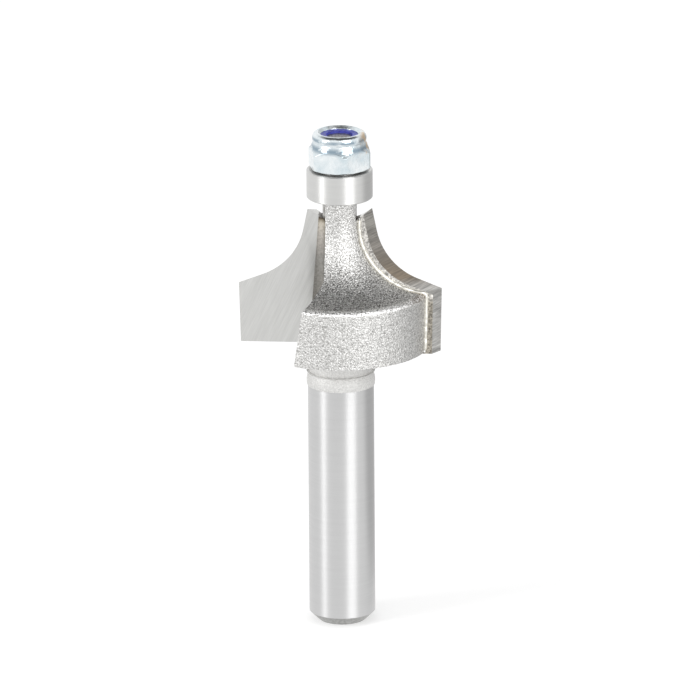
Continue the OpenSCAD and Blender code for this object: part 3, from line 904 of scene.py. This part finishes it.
def make_solder_bead(name, path, turn):
    """A wavy bead of solder that lies where the seam comes out between a tip and its wing."""
    shape = bmesh.new()
    rings = []
    for index, point in enumerate(path):
        before, after = path[max(index - 1, 0)], path[min(index + 1, len(path) - 1)]
        outward = (after - before).normalized().cross(SEAM_NORMAL)
        end = min(1.0, min(index, len(path) - 1 - index) / BEAD_END_STEPS + BEAD_END)
        swell = 1 + BEAD_SWELL * noise.noise(Vector((index * SWELL_WAVES, *SWELL_START)))
        sway = BEAD_SWAY * noise.noise(Vector((index * SWAY_WAVES, *SWAY_START)))
        centre = point + outward * BEAD_LIFT + SEAM_NORMAL * sway
        ring = []
        for side in range(BEAD_SIDES):
            angle = 2 * math.pi * side / BEAD_SIDES
            reach = outward * math.cos(angle) + SEAM_NORMAL * math.sin(angle) * BEAD_SPREAD
            ring.append(shape.verts.new(centre + reach * BEAD_R * swell * end))
        rings.append(ring)
    for one, other in zip(rings, rings[1:]):
        bridge(shape, one, other)
    shape.faces.new(list(reversed(rings[0])))
    shape.faces.new(rings[-1])
    for face in shape.faces:
        face.smooth = True
    mesh = mesh_of(shape, name, turn)
    mesh.materials.append(bpy.data.materials["silver_solder"])
    bead = add_object(name, mesh)
    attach(bead, "cutter")


def make_beads():
    path = evenly(seam_path(), BEAD_STEPS)
    make_solder_bead("solder_bead_a", path, 0)
    make_solder_bead("solder_bead_b", path, 180)


# Stage

# Dim patches of the white room, for what mirrors it: one overhead, and a fainter one behind on the right.
# Each has its level, its middle in degrees, and the cosines from there where it starts and where it is full
CEILING_LEVEL = 0.08
CEILING_ELEVATION = 78
CEILING_EDGES = (0.66, 0.92)
RIGHT_BACK_LEVEL = 0.62
RIGHT_BACK_AZIMUTH = CAMERA_AZIMUTH + 125
RIGHT_BACK_EDGES = (0.67, 0.95)

# Light of the room on what doesn't mirror it
ROOM_LEVEL = 0.7

# Half of the floor's side, its grey, roughness and gloss, and what it adds to its light for the camera
FLOOR_HALF = 3.0
FLOOR_GREY = (0.82, 0.82, 0.82, 1)
FLOOR_ROUGHNESS = 0.9
FLOOR_GLOSS = 0.1
FLOOR_GLOW = 0.43

# Soft boxes, with their turns in degrees, their sizes in metres and their power in watts
BOX_DISTANCE = 0.45
RIGHT_BOX = dict(azimuth=CAMERA_AZIMUTH + 35, elevation=28, width=0.26, height=0.5, power=1.25)
LEFT_BOX = dict(azimuth=CAMERA_AZIMUTH - 64, elevation=22, width=0.14, height=0.36, power=0.62)


def studio_strength(tree, direction):
    """How bright the room looks to metal: white all round, but for its two dim patches."""
    ceiling = way_to(CAMERA_AZIMUTH + 180, CEILING_ELEVATION)
    lifted = vector_node(tree, "DOT_PRODUCT", direction, ceiling)
    overhead = remap(tree, lifted, *CEILING_EDGES, 1.0, CEILING_LEVEL, smooth=True)
    toward = vector_node(tree, "DOT_PRODUCT", direction, way_to(RIGHT_BACK_AZIMUTH, 0))
    behind = remap(tree, toward, *RIGHT_BACK_EDGES, 1.0, RIGHT_BACK_LEVEL, smooth=True)
    return times(tree, overhead, behind)


def is_mirrored(tree, path):
    """Whether a ray comes off metal or through glass, from the outputs of Light Path."""
    return math_node(tree, "MAXIMUM", path["Is Glossy Ray"], path["Is Transmission Ray"])


def make_floor():
    """A pale floor, which is white to the camera and looks to metal as the room does."""
    material = bpy.data.materials.new("floor")
    material.use_nodes = True
    tree = material.node_tree
    shader = tree.nodes["Principled BSDF"]
    shader.inputs["Base Color"].default_value = FLOOR_GREY
    shader.inputs["Roughness"].default_value = FLOOR_ROUGHNESS
    shader.inputs["Specular IOR Level"].default_value = FLOOR_GLOSS
    path = node(tree, "ShaderNodeLightPath").outputs
    glow = node(tree, "ShaderNodeEmission", {"Strength": times(tree, path["Is Camera Ray"], FLOOR_GLOW)})
    plain = node(tree, "ShaderNodeAddShader", {0: shader.outputs[0], 1: glow.outputs[0]})
    spot = node(tree, "ShaderNodeNewGeometry").outputs["Position"]
    from_bit = vector_node(tree, "SUBTRACT", spot, (0.0, 0.0, SHANK_MID_Z))
    away = vector_node(tree, "NORMALIZE", from_bit)
    room = node(tree, "ShaderNodeEmission", {"Strength": studio_strength(tree, away)})
    mirrored = is_mirrored(tree, path)
    surface = node(tree, "ShaderNodeMixShader", {0: mirrored, 1: plain.outputs[0], 2: room.outputs[0]})
    tree.links.new(surface.outputs[0], tree.nodes["Material Output"].inputs["Surface"])
    mesh = bpy.data.meshes.new("floor")
    corners = [(x * FLOOR_HALF, y * FLOOR_HALF, 0) for x, y in ((-1, -1), (1, -1), (1, 1), (-1, 1))]
    mesh.from_pydata(corners, [], [(0, 1, 2, 3)])
    mesh.materials.append(material)
    floor = add_object("floor", mesh)
    return floor


def make_lamp(name, azimuth, elevation, width, height, power):
    """A soft box that looks at the middle of the bit."""
    light = bpy.data.lights.new(name, "AREA")
    light.shape = "RECTANGLE"
    light.size = width
    light.size_y = height
    light.energy = power
    lamp = add_object(name, light)
    away = way_to(azimuth, elevation)
    lamp.location = Vector((0, 0, AIM_HEIGHT)) + away * BOX_DISTANCE
    lamp.rotation_mode = "QUATERNION"
    lamp.rotation_quaternion = away.to_track_quat("Z", "Y")
    return lamp


def keep_off(lamp, piece):
    """Keeps a lamp's light off one object, as a flag beside the lamp would."""
    flagged = bpy.data.collections.new("flagged")
    flagged.objects.link(piece)
    lamp.light_linking.receiver_collection = flagged
    flagged.collection_objects[0].light_linking.link_state = "EXCLUDE"


def make_world():
    """White behind the object, the studio's own light in its metal, and a plain level for the rest."""
    world = bpy.data.worlds.new("studio")
    world.use_nodes = True
    bpy.context.scene.world = world
    tree = world.node_tree
    tree.nodes.clear()
    path = node(tree, "ShaderNodeLightPath").outputs
    direction = node(tree, "ShaderNodeTexCoord").outputs["Generated"]
    room = mix_value(tree, is_mirrored(tree, path), ROOM_LEVEL, studio_strength(tree, direction))
    strength = mix_value(tree, path["Is Camera Ray"], room, 1.0)
    sky = node(tree, "ShaderNodeBackground", {"Color": (1, 1, 1, 1), "Strength": strength})
    node(tree, "ShaderNodeOutputWorld", {"Surface": sky.outputs[0]})


def make_camera():
    """The photograph's camera, far off with a long lens."""
    camera = add_object("camera", bpy.data.cameras.new("camera"))
    camera.data.sensor_width = CAMERA_FRAME
    camera.data.lens = CAMERA_LENS
    camera.data.clip_start = NEAREST_SEEN
    camera.data.clip_end = FARTHEST_SEEN
    back = way_to(CAMERA_AZIMUTH, CAMERA_ELEVATION)
    aim = Vector((0, 0, AIM_HEIGHT)) + way_to(CAMERA_AZIMUTH + 90, 0) * AIM_RIGHT
    camera.location = aim + back * CAMERA_DISTANCE
    camera.rotation_mode = "QUATERNION"
    roll = Matrix.Rotation(math.radians(-CAMERA_ROLL), 3, "Z").to_quaternion()
    camera.rotation_quaternion = back.to_track_quat("Z", "Y") @ roll
    bpy.context.scene.camera = camera


def set_stage():
    """The room, floor, lamps and camera. The right lamp spares the floor, so that only one shadow shows."""
    make_world()
    floor = make_floor()
    keep_off(make_lamp("soft_box_right", **RIGHT_BOX), floor)
    make_lamp("soft_box_left", **LEFT_BOX)
    make_camera()
    bpy.context.scene.view_settings.view_transform = "Standard"


cut_neck()
dress_all()
make_beads()
set_stage()
